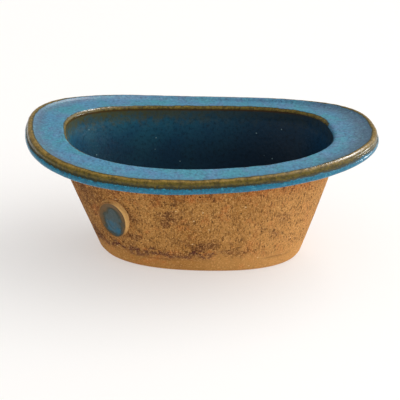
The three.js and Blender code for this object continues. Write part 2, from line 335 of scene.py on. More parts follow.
def scratches(around, height, seed):
    """Depth from 0 to 1 of straight scratches over a band laid out flat."""
    random = np.random.default_rng(seed)
    perimeter = around.max()
    depth = np.zeros_like(height)
    for _ in range(SCRATCH_COUNT):
        u = random.uniform(0, perimeter)
        h = random.uniform(height.min(), height.max())
        angle = random.normal(SCRATCH_LEAN, SCRATCH_LEAN_SPREAD)
        half_length = random.uniform(*SCRATCH_HALF_LENGTHS)
        half_width = random.uniform(*SCRATCH_HALF_WIDTHS)
        strength = random.uniform(*SCRATCH_STRENGTHS)
        du = (around - u + perimeter / 2) % perimeter - perimeter / 2
        dh = height - h
        along = du * math.cos(angle) + dh * math.sin(angle)
        across = dh * math.cos(angle) - du * math.sin(angle)
        mark = np.exp(-((across / half_width) ** 2)) * smoothstep(1, 0.6, np.abs(along) / half_length)
        depth = np.maximum(depth, mark * strength)
    return depth


def layout(grid):
    """Distances round and up a band, in millimetres, for each of its points."""
    steps = np.linalg.norm(np.roll(grid, -1, 1) - grid, axis=-1).mean(0)
    around = np.concatenate([[0], np.cumsum(steps)[:-1]])
    return np.broadcast_to(around, grid.shape[:2]), grid[..., 2]


def clay_relief(grid, rough):
    """How far raw clay stands out in millimetres, how torn it is and how stained, both from 0 to 1.

    Rough is how much tearing there is, from 0 to 1. Most of it is in patches, and more to the left.
    """
    leftward = -grid[..., 0] / PATCH_DRIFT
    patches = smoothstep(-0.25, 0.45, field(grid, 17, 198.7) + leftward)
    torn = smoothstep(0.1, 0.6, streaked(grid, 2.4, 11.7, length=2.5)) * between(0.25, 1, patches)
    pits = smoothstep(0.42, 0.62, field(grid, 2.1, 27.1)) * between(0.1, 1, patches)
    scored = scratches(*layout(grid), seed=5)
    streaks = STREAK_HEIGHT * streaked(grid, 1.25, 41.9, length=2.0)
    marks = TEAR_DEPTH * torn + PIT_DEPTH * pits + SCRATCH_DEPTH * scored
    relief = waves(grid, HAND_WAVES) + rough * (streaks - marks)
    wear_and_seal_shade = rough * np.clip(TEAR_WEAR * torn + PIT_WEAR * pits + SCRATCH_WEAR * scored, 0, 1)
    return relief, wear_and_seal_shade, patches


# ---- Wall and floor --------------------------------------------------------------------
FLOOR_OUTSIDE = between(FOOT, WALL_TOP, FLOOR_TOP / UNDERSIDE)
SEAM_SOFTNESS = 6.0
SEAM_HALF_WIDTH = 0.8
SEAM_DEPTH, SEAM_WEAR = 0.35, 0.7
SEAM_SHOWS = [(1, 16, 61.3), (0.5, 5, 13.7)]
SEAM_STAIN_HEIGHT = FLOOR_TOP + 3.6
WALL_RINGS = 104
FOOT_ROUGHNESS = 0.25
FOOT_SMOOTHNESS = 0.8
RECESS_SLOPE = 1  # how wide the slope into the recess is


def wall_height(share):
    return FLOOR_TOP + share * (UNDERSIDE - FLOOR_TOP)


def wall_outside(share):
    return ring(between(FLOOR_OUTSIDE, WALL_TOP, share), 0, wall_height(share), share)


def wall_inside(share, depth):
    """The lining's surface from floor to opening, or a ring behind it by depth."""
    inset = between(WALL_THICKNESS, INNER_EDGE_RADIUS, share)
    return ring(between(FLOOR_OUTSIDE, OPENING, share), depth - inset, wall_height(share), share)


def seam_groove(grid):
    """The line where wall and floor were joined: worked over, so it only shows in places."""
    shows = smoothstep(-0.1, 0.5, waves(grid, SEAM_SHOWS))
    near = np.exp(-(((grid[..., 2] - FLOOR_TOP) / SEAM_HALF_WIDTH) ** 2))
    return near * shows


def make_wall():
    outside = loft([wall_outside(share) for share in np.linspace(0, 1, WALL_RINGS)], ANGLES)
    above_seam = smoothstep(0, SEAM_SOFTNESS, outside[..., 2] - FLOOR_TOP)
    relief, wear_and_seal_shade, stained = clay_relief(outside, between(FOOT_ROUGHNESS, 1, above_seam))
    seam = seam_groove(outside)
    outside = outside + normals(outside) * (relief - SEAM_DEPTH * seam)[..., None]
    inside = loft([wall_inside(share, GLAZE + GAP) for share in np.linspace(1, 0, 5)], ANGLES)
    looks = {
        "wear_and_seal_shade": np.maximum(wear_and_seal_shade, SEAM_WEAR * seam),
        "smooth": FOOT_SMOOTHNESS * (1 - above_seam),
        "stained": stained,
    }
    return closed_band("pot_wall", np.concatenate([outside, inside]), extended(looks, inside))


def floor_rings():
    """Rings of the underside, of the shown edge and of the hidden top, from the middle out and back."""
    underside = [
        ring(between(CENTRE, FOOT, CORE), 0, RECESS_DEPTH, 0),
        ring(FOOT, -FOOT_RING_WIDTH - 3 * RECESS_SLOPE, RECESS_DEPTH, 0),
        *[
            ring(FOOT, -FOOT_RING_WIDTH - RECESS_SLOPE * (1 - t), RECESS_DEPTH * (1 - t), 0)
            for t in (0, 0.3, 0.7, 1)
        ],
        ring(FOOT, -FOOT_RING_WIDTH / 2, 0, 0),
    ]
    corner = [
        ring(FOOT, FOOT_ROUNDING * (math.sin(t) - 1), FOOT_ROUNDING * (1 - math.cos(t)), 0)
        for t in np.radians(np.linspace(0, 75, 6))
    ]
    edge = [
        ring(between(FOOT, FLOOR_OUTSIDE, z / FLOOR_TOP), 0, z, 0)
        for z in np.linspace(FOOT_ROUNDING + 0.4, FLOOR_TOP, 10)
    ]
    top = [
        ring(FLOOR_OUTSIDE, -WALL_THICKNESS, FLOOR_TOP, 0),
        ring(between(CENTRE, FLOOR_OUTSIDE, CORE), 0, FLOOR_TOP, 0),
    ]
    return underside, corner + edge, top


def make_floor():
    underside, edge, top = floor_rings()
    grid = loft(underside + edge + top, ANGLES)
    shown = slice(len(underside), len(underside) + len(edge))
    band = grid[shown]
    relief, band_wear, _ = clay_relief(band, FOOT_ROUGHNESS)
    seam = seam_groove(band)
    off_ground = smoothstep(0, 0.6, band[..., 2])
    grid[shown] = band + normals(band) * (off_ground * relief - SEAM_DEPTH * seam)[..., None]
    wear_and_seal_shade = np.zeros(grid.shape[:2])
    wear_and_seal_shade[shown] = np.maximum(band_wear, SEAM_WEAR * seam)
    smooth = np.full(grid.shape[:2], FOOT_SMOOTHNESS)
    obj = capped_band("pot_floor", grid, {"wear_and_seal_shade": wear_and_seal_shade, "smooth": smooth})
    return drill(obj, RECESS_DEPTH, FLOOR_TOP)


# ---- Rim -------------------------------------------------------------------------------
# Where the profile's round stretches run, in degrees.
LIP_TURNS = np.linspace(-90, 55, 17)
BEAD_TURNS = np.linspace(-5, 140, 21)
EDGE_TURNS = np.linspace(90, 180, 13)
FLANGE_SHARES = (0.42, 0.55, 0.7, 0.85, 0.95)

# How thin the glaze has run at some of those turns, from 0 for thick to 1 for thinnest.
LIP_THIN = ([10, 35, 55], [0, 0.1, 0.4])
GROOVE_THIN = 0.48
# the bead's peak near 60 degrees turns golden: thin glaze, partly a painted highlight along the crest
BEAD_THIN = ([-5, 10, 36, 60, 82, 96], [0.56, 0.6, 0.74, 1, 0.6, 0])
EDGE_THIN = ([90, 104, 126, 180], [0, 0.2, 0.84, 0.7])

END_SPREAD = 0.9  # how much further in the browning reaches at the two ends
BLUE_START_X = 40  # the inner edge stays blue to the right of this
BLUE_LAG = 16  # and starts this much later on the far side
BLUE_FADE = 22
BLUE_WANDER = [(0.3, 4, 81.7)]
SLATE_WANDER = [(6, 21, 71.3)]
SLATE_DRIFT = [(0.12, 12, 52.9)]
GLAZE_WANDER = [(0.45, 9, 33.3), (0.3, 2.6, 3.3)]
GLAZE_LUMPS = [(0.16, 26, 2.2), (0.08, 7, 5.1)]
GLAZE_RIPPLE = (0.03, 0.09)  # where it lies thick, and where it has run thin
BEDDING_LUMPS = [(0.25, 3, 17.0)]


def rim_skin():
    """Rings of the glazed rim from under the lip to the opening.

    Beside them goes a table of looks with a row per ring: how thin the glaze has run, whether it hangs on
    the lip, and how far across the flange it lies.
    """
    bead_height = FLANGE_HEIGHT + BEAD_CREST - BEAD_RADIUS
    under = [ring(between(RIM_EDGE, WALL_TOP, share), 0, UNDERSIDE) for share in (UNDERSIDE_GLAZED, 0.25)]
    lip = arc(RIM_EDGE, -LIP_RADIUS, UNDERSIDE + LIP_RADIUS, LIP_RADIUS, LIP_TURNS)
    groove = [ring(RIM_EDGE, -GROOVE_DEPTH, UNDERSIDE + 2 * LIP_RADIUS)]
    bead = arc(RIM_EDGE, -BEAD_SETBACK, bead_height, BEAD_RADIUS, BEAD_TURNS)
    flange = [
        ring(between(RIM_EDGE, OPENING, share), 0, FLANGE_HEIGHT - FLANGE_DISH * math.sin(math.pi * share))
        for share in FLANGE_SHARES
    ]
    edge = arc(OPENING, 0, FLANGE_HEIGHT - INNER_EDGE_RADIUS, INNER_EDGE_RADIUS, EDGE_TURNS)
    looks = [
        *[(0, 1, 0) for _ in under],
        *[(thin, 1, 0) for thin in np.interp(LIP_TURNS, *LIP_THIN)],
        (GROOVE_THIN, 1, 0),
        *[(thin, 0, 0) for thin in np.interp(BEAD_TURNS, *BEAD_THIN)],
        *[(0, 0, share) for share in FLANGE_SHARES],
        *[(thin, 0, 1) for thin in np.interp(EDGE_TURNS, *EDGE_THIN)],
    ]
    return under + lip + groove + bead + flange + edge, np.array(looks)


def rim_surface(count, rounds):
    """The rim's skin as an even grid, softened as melted glaze is, with each ring's place and looks."""
    rings, looks = rim_skin()
    drawn = loft(rings, ANGLES)
    along = profile_places(drawn)
    places = np.linspace(0, along[-1], count)
    looks = np.stack([np.interp(places, along, column) for column in looks.T])
    return soften(resample(drawn, count), rounds), places, looks


def stays_blue(grid):
    """Where the inner edge keeps its blue: towards the right end, and later on the far side."""
    start = BLUE_START_X + BLUE_LAG * smoothstep(0, 20, grid[..., 1])
    rightward = smoothstep(start, start + BLUE_FADE, grid[..., 0])
    return smoothstep(0.2, 0.8, rightward + waves(grid, BLUE_WANDER))


def browning(grid, places, thin, across):
    """How thin the glaze has run at each point: each ring's value, with an uneven border."""
    crest = places[np.argmax(thin * (across == 0))]
    past_crest = smoothstep(0, 1.2, places - crest)[:, None]
    at_ends = smoothstep(50, 82, np.abs(grid[..., 0]))
    spread = END_SPREAD * at_ends * past_crest * (across < 0.3)[:, None]
    thin = np.interp(places[:, None] + waves(grid, GLAZE_WANDER) - spread, places, thin)
    return thin * (1 - (across[:, None] > 0.5) * stays_blue(grid))


def slate_share(grid, across):
    """How slate grey the blue is: most on the outer flange at the right end, less so at the left end."""
    x = grid[..., 0] + waves(grid, SLATE_WANDER)
    share = across + waves(grid, SLATE_DRIFT)
    right = 0.7 * smoothstep(38, 70, x) * smoothstep(0.8, 0.35, share)
    left = 0.55 * smoothstep(-38, -70, x) * smoothstep(0.6, 0.25, share)
    all_round = 0.22 * smoothstep(0.5, 0.2, share)
    return np.maximum(np.maximum(right, left), all_round)


def make_rim_glaze():
    grid, places, (ring_thin, lip, across) = rim_surface(count=104, rounds=4)
    out = normals(grid)
    thin = browning(grid, places, ring_thin, across)
    looks = {
        "thin": thin,
        "lip": np.broadcast_to(lip[:, None], thin.shape),
        "slate": slate_share(grid, across[:, None]),
    }
    ripple = between(*GLAZE_RIPPLE, smoothstep(0, 0.5, thin)) * field(grid, 2.8, 14.4)
    face = grid + out * (waves(grid, GLAZE_LUMPS) + ripple)[..., None]
    back = (grid - out * GLAZE)[::-6]
    return closed_band("rim_glaze_skin", np.concatenate([face, back]), extended(looks, back))


def make_rim_clay():
    grid, _, _ = rim_surface(count=40, rounds=2)
    skin = grid - normals(grid) * (GLAZE + GAP)
    seat = [ring(OPENING, GLAZE + GAP - INNER_EDGE_RADIUS, UNDERSIDE), ring(WALL_TOP, 0, UNDERSIDE)]
    overhang = [
        ring(between(WALL_TOP, RIM_EDGE, share), 0, UNDERSIDE - GAP)
        for share in (0.1, 0.2, 0.3, 0.4, 0.5)
    ]
    lumpy = loft(overhang, ANGLES)
    lumpy[..., 2] += waves(lumpy, BEDDING_LUMPS)
    return closed_band("rim_clay", np.concatenate([skin, loft(seat, ANGLES), lumpy]))


# ---- Lining ----------------------------------------------------------------------------
LINING_TOP = FLANGE_HEIGHT - INNER_EDGE_RADIUS
LINING_BACK = FLOOR_TOP + GAP
LINING_FLOOR = LINING_BACK + GLAZE
LINING_FILLET = 4.0
LINING_WAVES = [(0.25, 30, 7.7), (0.08, 9, 3.9), (0.03, 3, 21.9)]
LINING_HOLE_EXTRA = 0.15
OUT_OF_SIGHT = 50.0  # a depth for the lining's back


def lining_rings():
    """Rings of the hidden back, from the middle out, and of the shown face, from the opening in."""
    hidden = [
        ring(between(CENTRE, FLOOR_OUTSIDE, CORE), 0, LINING_BACK, 0),
        *[wall_inside(share, GLAZE) for share in np.linspace(0.002, 1, 5)],
    ]
    wall = [wall_inside(share, 0) for share in np.linspace(1, 0.1, 60)]
    corner = [
        ring(
            FLOOR_OUTSIDE,
            -WALL_THICKNESS - LINING_FILLET * t ** 2,
            LINING_FLOOR + LINING_FILLET * (1 - t) ** 2,
            0,
        )
        for t in np.linspace(0, 1, 8)
    ]
    floor = [
        ring(between(CENTRE, FLOOR_OUTSIDE, share), 0, LINING_FLOOR, 0)
        for share in (0.7, 0.5, 0.3, 0.1, CORE)
    ]
    return hidden, [ring(OPENING, -INNER_EDGE_RADIUS, LINING_TOP), *wall, *corner, *floor]


def make_lining():
    hidden, face = lining_rings()
    angles = ANGLES[::2]
    shown = soften(loft(face, angles), 2)
    back = loft(hidden, angles)
    depth = LINING_TOP + end_rise(shown[..., 0]) - shown[..., 2]
    settled = smoothstep(0, 3, depth) * smoothstep(-2, 2, shown[..., 2] - LINING_FLOOR)
    shown = shown + normals(shown) * (waves(shown, LINING_WAVES) * settled)[..., None]
    depth = np.concatenate([np.full(back.shape[:2], OUT_OF_SIGHT), depth])
    obj = capped_band("lining_skin", np.concatenate([back, shown]), {"depth": depth})
    return drill(obj, LINING_BACK, LINING_FLOOR, LINING_HOLE_EXTRA)


# ---- Seal ------------------------------------------------------------------------------
SEAL_TURNS = np.linspace(0, 2 * math.pi, 144, endpoint=False)
SEAL_POOL = 1 - SEAL_BORDER / SEAL_HALF_WIDTH  # in half widths
SEAL_POOL_FLOOR = SEAL_PROUD - SEAL_POOL_DEPTH
SEAL_WOBBLE = [(0.05, 1.1, 6.1)]
SEAL_DENTS = [(0.2, 6, 3.3)]
SEAL_LUMPS = [(0.16, 2.4, 9.1)]
SEAL_SUNLIT_TURN = 0.4  # in radians: here the border's face keeps its painted sunlit paleness; elsewhere all round it is painted darker as shade
POOL_FILL = 0.35  # height of the glaze over the pool's floor
POOL_BRIM = 0.3  # how far under the pad's crest the glaze ends
POOL_WAVES = [(0.06, 3.4, 15.0)]
FAINT_RING_PLACE, FAINT_RING_WIDTH, FAINT_RING_HEIGHT = 0.45, 0.08, 0.14


def seal_frame():
    """Where the seal sits: its middle, the axes along, up and out, and the wall's bulge as a quadratic."""
    middle = (SEAL_HEIGHT - FLOOR_TOP) / (UNDERSIDE - FLOOR_TOP)
    angle = math.radians(SEAL_ANGLE)

    def at(turned, raised):
        return ring_points(wall_outside(middle + raised), np.array([angle + turned]))[0]

    nudge = 0.01
    origin = at(0, 0)
    along = unit(at(nudge, 0) - origin)
    out = unit(np.cross(along, at(0, nudge) - origin))
    up = np.cross(out, along)
    turns, shares = np.linspace(-0.2, 0.2, 7), np.linspace(-0.25, 0.25, 7)  # about the seal's own size
    near = np.array([at(turn, share) for turn in turns for share in shares]) - origin
    a, b, height = near @ along, near @ up, near @ out
    bulge = np.linalg.lstsq(np.stack([a * a, a * b, b * b], 1), height, rcond=None)[0]
    return origin, along, up, out, bulge


def seal_points(a, b, height):
    """Points at distances a along and b up from the seal's centre, height above the wall."""
    origin, along, up, out, (k1, k2, k3) = seal_frame()
    lift = height + k1 * a * a + k2 * a * b + k3 * b * b
    return origin + a[..., None] * along + b[..., None] * up + lift[..., None] * out


def seal_disc(radii, heights):
    """A grid over the seal's oval from a profile: radii in half widths and heights in millimetres."""
    r, t = np.meshgrid(radii, SEAL_TURNS, indexing="ij")
    hand = 1 + waves(np.stack([np.cos(t), np.sin(t), 0 * t], -1), SEAL_WOBBLE)
    inset = SEAL_HALF_WIDTH * (1 - r)
    a = (SEAL_HALF_WIDTH - inset) * hand * np.cos(t)
    b = (SEAL_HALF_HEIGHT - inset) * hand * np.sin(t)
    h = np.broadcast_to(np.asarray(heights, float)[:, None], r.shape)
    return a, b, h


def seal_profile(count):
    """Radii and heights of the clay pad, from behind the wall's face over the border into the pool."""
    points = [
        (1.0, -1.0),
        (1.02, -0.1),
        (1.01, 0.6),
        (1.0, SEAL_PROUD - 0.8),
        (0.975, SEAL_PROUD - 0.25),
        (0.935, SEAL_PROUD),
        (0.9, SEAL_PROUD - 0.1),
        (SEAL_POOL, SEAL_PROUD - 0.45),
        (SEAL_POOL - 0.2, SEAL_POOL_FLOOR),
        (CORE, SEAL_POOL_FLOOR),
    ]
    places = np.linspace(0, len(points) - 1, count)
    return [np.interp(places, np.arange(len(points)), column) for column in np.array(points).T]


def make_seal_pad():
    a, b, h = seal_disc(*seal_profile(56))
    dents = waves(np.stack([a, b, 0 * a], -1), SEAL_DENTS)
    lumps = dents + waves(np.stack([a, b, h], -1), SEAL_LUMPS)
    in_front = smoothstep(-0.3, 0.3, h)
    pad = soften(seal_points(a, b, h + in_front * lumps), 2)
    back = seal_points(a[:1] * CORE, b[:1] * CORE, h[:1])
    grid = np.concatenate([back, pad])
    on_face = smoothstep(SEAL_PROUD - 1, SEAL_PROUD - 0.4, np.concatenate([h[:1], h]))
    # painted shade over the border's face, all round but at the sunlit turn
    wear_and_seal_shade = on_face * smoothstep(0.95, 0.3, np.cos(SEAL_TURNS - SEAL_SUNLIT_TURN))
    return capped_band("seal_clay", grid, {"smooth": np.ones(grid.shape[:2]), "wear_and_seal_shade": wear_and_seal_shade})


def make_seal_glaze():
    """The pool: thin on the sloping border, level and thick in the middle, with one faint ring in it."""
    pool = SEAL_POOL + 0.03
    share = np.linspace(1, CORE / pool, 34)
    level = SEAL_POOL_FLOOR + POOL_FILL
    up_border = (SEAL_POOL_DEPTH - POOL_FILL - POOL_BRIM) * smoothstep(0.5, 1.05, share)
    faint_ring = FAINT_RING_HEIGHT * np.exp(-(((share - FAINT_RING_PLACE) / FAINT_RING_WIDTH) ** 2))
    back_radii = [CORE, pool - 0.15, pool - 0.01]
    back_heights = [SEAL_POOL_FLOOR - 0.3, SEAL_POOL_FLOOR - 0.3, SEAL_PROUD - 0.9]
    radii = np.concatenate([back_radii, share * pool])
    heights = np.concatenate([back_heights, level + up_border + faint_ring])
    a, b, h = seal_disc(radii, heights)
    h = h + waves(np.stack([a, b, 0 * a], -1), POOL_WAVES) * (h > SEAL_POOL_FLOOR)
    low = np.clip(0.5 - b / (2 * SEAL_HALF_HEIGHT * pool), 0, 1)
    edge = np.broadcast_to(np.concatenate([np.ones(len(back_radii)), share])[:, None], a.shape)
    return capped_band("seal_pool", seal_points(a, b, h), {"low": low, "edge": edge})


# ---- Materials -------------------------------------------------------------------------
def srgb(red, green, blue):
    """A linear colour from a colour as it is seen on a screen, from 0 to 255."""
    channels = [c / 255 for c in (red, green, blue)]
    return tuple(c / 12.92 if c <= 0.04045 else ((c + 0.055) / 1.055) ** 2.4 for c in channels) + (1,)


class Shader:
    """A short way to write a material: each method adds a node and gives back its output.

    Distances and periods are in millimetres.
    """

    def __init__(self, name):
        self.material = bpy.data.materials.new(name)
        self.material.use_nodes = True
        self.tree = self.material.node_tree
        self.tree.nodes.clear()
        here = self.add("ShaderNodeTexCoord").outputs["Object"]
        scale = self.add("ShaderNodeVectorMath", operation="SCALE")
        self.join(here, scale.inputs[0])
        scale.inputs["Scale"].default_value = 1 / MM
        self.mm = scale.outputs[0]
        axes = self.add("ShaderNodeSeparateXYZ")
        self.join(self.mm, axes.inputs[0])
        self.x, self.height = axes.outputs["X"], axes.outputs["Z"]

    def add(self, kind, **settings):
        made = self.tree.nodes.new(kind)
        for key, value in settings.items():
            setattr(made, key, value)
        return made

    def join(self, source, socket):
        if isinstance(source, bpy.types.NodeSocket):
            self.tree.links.new(source, socket)
        else:
            socket.default_value = source

    def attribute(self, name):
        return self.add("ShaderNodeAttribute", attribute_name=name).outputs["Fac"]

    def place(self, stretch=(1, 1, 1), turn=(0, 0, 0), shift=0.0):
        """Where a pattern is read: drawn out by stretch, turned in degrees and shifted to another draw."""
        made = self.add("ShaderNodeMapping")
        self.join(self.mm, made.inputs["Vector"])
        made.inputs["Rotation"].default_value = [math.radians(v) for v in turn]
        made.inputs["Scale"].default_value = [1 / v for v in stretch]
        made.inputs["Location"].default_value = (shift, shift, shift)
        return made.outputs[0]

    def noise(self, period, detail=3.0, roughness=0.55, where=None):
        made = self.add("ShaderNodeTexNoise")
        self.join(where or self.mm, made.inputs["Vector"])
        made.inputs["Scale"].default_value = 1 / period
        made.inputs["Detail"].default_value = detail
        made.inputs["Roughness"].default_value = roughness
        return made.outputs[0]

    def specks(self, period, share, inner, outer, where=None):
        """Round specks in a share of a pattern's cells. They fade from inner to outer, in periods."""
        cells = self.add("ShaderNodeTexVoronoi")
        self.join(where or self.mm, cells.inputs["Vector"])
        cells.inputs["Scale"].default_value = 1 / period
        draw = self.add("ShaderNodeSeparateColor")
        self.join(cells.outputs["Color"], draw.inputs[0])
        chosen = self.math("GREATER_THAN", draw.outputs[0], 1 - share)
        return self.times(self.ramp(cells.outputs["Distance"], inner, outer, 1, 0), chosen)

    def ramp(self, value, low, high, start=0.0, end=1.0):
        """Goes smoothly from start to end as value goes from low to high."""
        made = self.add("ShaderNodeMapRange", interpolation_type="SMOOTHSTEP")
        for source, socket in zip((value, low, high, start, end), made.inputs):
            self.join(source, socket)
        return made.outputs[0]

    def math(self, operation, first, second=0.0):
        made = self.add("ShaderNodeMath", operation=operation)
        self.join(first, made.inputs[0])
        self.join(second, made.inputs[1])
        return made.outputs[0]

    def plus(self, first, second):
        return self.math("ADD", first, second)

    def minus(self, first, second):
        return self.math("SUBTRACT", first, second)

    def times(self, first, second):
        return self.math("MULTIPLY", first, second)

    def mix(self, share, first, second):
        made = self.add("ShaderNodeMix", data_type="RGBA")
        self.join(share, made.inputs[0])
        self.join(first, made.inputs[6])
        self.join(second, made.inputs[7])
        return made.outputs[2]

    def bump(self, height, distance):
        """Distance is how far in millimetres a height of 1 stands out."""
        made = self.add("ShaderNodeBump")
        made.inputs["Distance"].default_value = distance * MM
        self.join(height, made.inputs["Height"])
        return made.outputs[0]

    def surface(self, colour, roughness, normal=None, **extra):
        made = self.add("ShaderNodeBsdfPrincipled")
        self.join(colour, made.inputs["Base Color"])
        self.join(roughness, made.inputs["Roughness"])
        if normal is not None:
            self.join(normal, made.inputs["Normal"])
        for key, value in extra.items():
            self.join(value, made.inputs[key.replace("_", " ")])
        output = self.add("ShaderNodeOutputMaterial")
        self.join(made.outputs[0], output.inputs["Surface"])
        return self.material


# ---- Raw clay --------------------------------------------------------------------------
OCHRE, PALE_OCHRE, ORANGE = srgb(174, 120, 57), srgb(194, 139, 74), srgb(200, 112, 52)
SUNLIT_SIDE_PAINT, SHADED_END_PAINT, FLASHED = srgb(224, 162, 94), srgb(112, 70, 48), srgb(196, 104, 48)
STAINED, SEAM_STAIN, TORN_AND_SEAL_SHADE = srgb(118, 70, 48), srgb(86, 40, 42), srgb(84, 48, 31)
DARK_GRAIN, PALE_GRAIN, STROKE = srgb(98, 58, 32), srgb(236, 184, 114), srgb(88, 52, 28)
IRON, GROG = srgb(56, 32, 20), srgb(244, 212, 160)
SPONGED, SMOOTHED_AND_SUNLIT_SEAL = srgb(216, 160, 92), srgb(248, 200, 128)


def clay_ground(s):
    """The clay's colour in soft clouds, orange by the rim, paler to the right as painted sunlight and
    browner at the left end as painted shade.
    """
    colour = s.mix(s.ramp(s.noise(24, 4), 0.35, 0.65), OCHRE, PALE_OCHRE)
    orange = s.ramp(s.noise(7, 3, 0.6, s.place(shift=90)), 0.52, 0.72, 0, 0.55)
    colour = s.mix(orange, colour, ORANGE)
    # painted sunlight: the right side lightened, as the window lights it
    colour = s.mix(s.ramp(s.x, 0, 50, 0, 0.55), colour, SUNLIT_SIDE_PAINT)
    # painted shade: the left end browned, away from the window
    colour = s.mix(s.ramp(s.x, -62, -36, 0.4, 0), colour, SHADED_END_PAINT)
    flashed = s.times(s.ramp(s.height, 42, 52), s.ramp(s.noise(5, 4, 0.65), 0.36, 0.6, 0.1, 0.75))
    return s.mix(flashed, colour, FLASHED)


def stained_patches(s, smooth):
    """Where the clay is stained, from 0 to 1: in clouds, and most of all just over the seam."""
    over_seam = s.times(s.ramp(s.height, 6, 8), s.ramp(s.height, 9, 15, 1, 0))
    over_seam = s.times(over_seam, s.ramp(s.x, 0, 30, 1, 0.2))
    cloud = s.noise(9, 5, 0.65, s.place(stretch=(1.6, 1.6, 1), shift=71))
    cloud = s.plus(cloud, s.ramp(s.attribute("stained"), 0, 1, -0.06, 0.03))
    patch = s.ramp(s.plus(cloud, s.times(over_seam, 0.14)), 0.5, 0.66)
    return s.times(patch, s.ramp(smooth, 0, 1, 1, 0.3))


def seam_stain(s):
    """Broken dark dashes that wander along a line over the seam and fade out to the right."""
    wander = s.ramp(s.noise(15, 3, 0.6, s.place(shift=23)), 0.3, 0.7, -3, 3)
    off_line = s.math("ABSOLUTE", s.plus(s.minus(s.height, SEAM_STAIN_HEIGHT), wander))
    dashes = s.times(s.ramp(off_line, 0.4, 2.2, 1, 0), s.ramp(s.noise(2.2, 4, 0.7), 0.38, 0.52))
    return s.times(dashes, s.ramp(s.x, 0, 25, 0.95, 0.1))


def drag_strokes(s):
    """Two sets of thin strokes that lean opposite ways, from 0 to 1."""
    leaning = s.noise(0.8, 3, 0.6, s.place(stretch=(1, 1, 5), turn=(0, 28, 0)))
    crossing = s.noise(0.8, 3, 0.6, s.place(stretch=(1, 1, 5), turn=(0, -34, 0), shift=9))
    return s.ramp(s.math("MAXIMUM", leaning, crossing), 0.57, 0.68)


def raw_clay():
    """Ochre stoneware: grain that darkens in stained patches, dragged strokes, iron pits and pale grog.

    Where the potter smoothed it, round the foot and on the seal, it is plainer and paler. On the seal that
    paleness is partly painted sunlight on its flank, and the rest of its face is painted darker as shade.
    """
    s = Shader("raw_clay")
    wear_and_seal_shade, smooth = s.attribute("wear_and_seal_shade"), s.attribute("smooth")
    rough = s.minus(1.0, smooth)
    patch = stained_patches(s, smooth)
    colour = s.mix(s.times(patch, 0.5), clay_ground(s), STAINED)
    colour = s.mix(seam_stain(s), colour, SEAM_STAIN)

    grain = s.noise(0.85, 4, 0.8)
    tipped = s.minus(s.plus(grain, s.times(patch, 0.08)), s.times(smooth, 0.07))
    strokes = s.times(drag_strokes(s), rough)
    colour = s.mix(s.ramp(tipped, 0.52, 0.67, 0, 0.9), colour, DARK_GRAIN)
    colour = s.mix(s.ramp(grain, 0.36, 0.48, 0.8, 0), colour, PALE_GRAIN)
    colour = s.mix(s.times(strokes, 0.75), colour, STROKE)
    # torn, pitted and scratched clay and the seam darken; on the seal this mask paints shade over its face
    colour = s.mix(s.times(wear_and_seal_shade, 0.65), colour, TORN_AND_SEAL_SHADE)

    iron = s.times(s.specks(2.3, share=0.18, inner=0.1, outer=0.24), rough)
    grog = s.specks(4.2, share=0.28, inner=0.06, outer=0.12, where=s.place(shift=17))
    # the seal paler: partly its smoothed clay, partly painted sunlight on its flank
    pale = s.times(s.ramp(smooth, 0.85, 1, 0, 0.65), s.minus(1.0, wear_and_seal_shade))
    colour = s.mix(s.times(iron, 0.85), colour, IRON)
    colour = s.mix(s.times(grog, 0.85), colour, GROG)
    colour = s.mix(s.times(smooth, 0.25), colour, SPONGED)
    colour = s.mix(pale, colour, SMOOTHED_AND_SUNLIT_SEAL)

    depth = s.plus(s.plus(grain, s.times(strokes, 0.3)), s.times(iron, 0.5))
    roughness = s.ramp(grain, 0.3, 0.7, 0.8, 0.97)
    return s.surface(colour, roughness, s.bump(depth, -0.7), Specular_IOR_Level=0.15)


# ---- Glazes ----------------------------------------------------------------------------
FLANGE_BLUE, FLANGE_TEAL, VIOLET = srgb(66, 129, 165), srgb(53, 136, 156), srgb(88, 118, 162)
SLATE, LIP_BLUE = srgb(76, 90, 110), srgb(28, 112, 142)
DARK_CELL, PALE_CELL = srgb(42, 78, 100), srgb(96, 168, 184)
THINNING, OLIVE, DARK_OLIVE = srgb(46, 54, 42), srgb(100, 86, 26), srgb(66, 58, 18)
GOLD_AND_CREST_HIGHLIGHT, DULL_GOLD = srgb(148, 120, 54), srgb(104, 82, 32)

LINING_BLUE, LINING_TEAL = srgb(27, 78, 108), srgb(37, 94, 116)
LINING_PAINTED_SHADE, LINING_END, LINING_CLOUD = srgb(22, 52, 74), srgb(14, 62, 96), srgb(8, 22, 32)
LINING_DEEP_GLAZE_AND_SHADE, LINING_VEIL = srgb(28, 34, 44), srgb(84, 82, 44)
LINING_EDGE, LINING_SPARKLE_PAINT = srgb(80, 54, 20), srgb(140, 170, 175)

POOL_GREY, POOL_BLUE, POOL_HAZE = srgb(64, 78, 78), srgb(34, 94, 120), srgb(84, 108, 112)
POOL_BORDER, POOL_BROWN = srgb(52, 56, 38), srgb(104, 76, 38)


def thick_rim_glaze(s):
    """The rim's blue where the glaze lies thick: clouded, slate at the ends, with dark and pale cells."""
    colour = s.mix(s.ramp(s.noise(16, 4, 0.6), 0.35, 0.65), FLANGE_BLUE, FLANGE_TEAL)
    violet = s.ramp(s.noise(9, 4, 0.65, s.place(shift=31)), 0.48, 0.64, 0, 0.5)
    colour = s.mix(violet, colour, VIOLET)
    colour = s.mix(s.attribute("slate"), colour, SLATE)
    colour = s.mix(s.attribute("lip"), colour, LIP_BLUE)
    cells = s.noise(1.4, 4, 0.75)
    colour = s.mix(s.ramp(cells, 0.48, 0.66, 0, 0.75), colour, DARK_CELL)
    return s.mix(s.ramp(cells, 0.34, 0.46, 0.5, 0), colour, PALE_CELL)


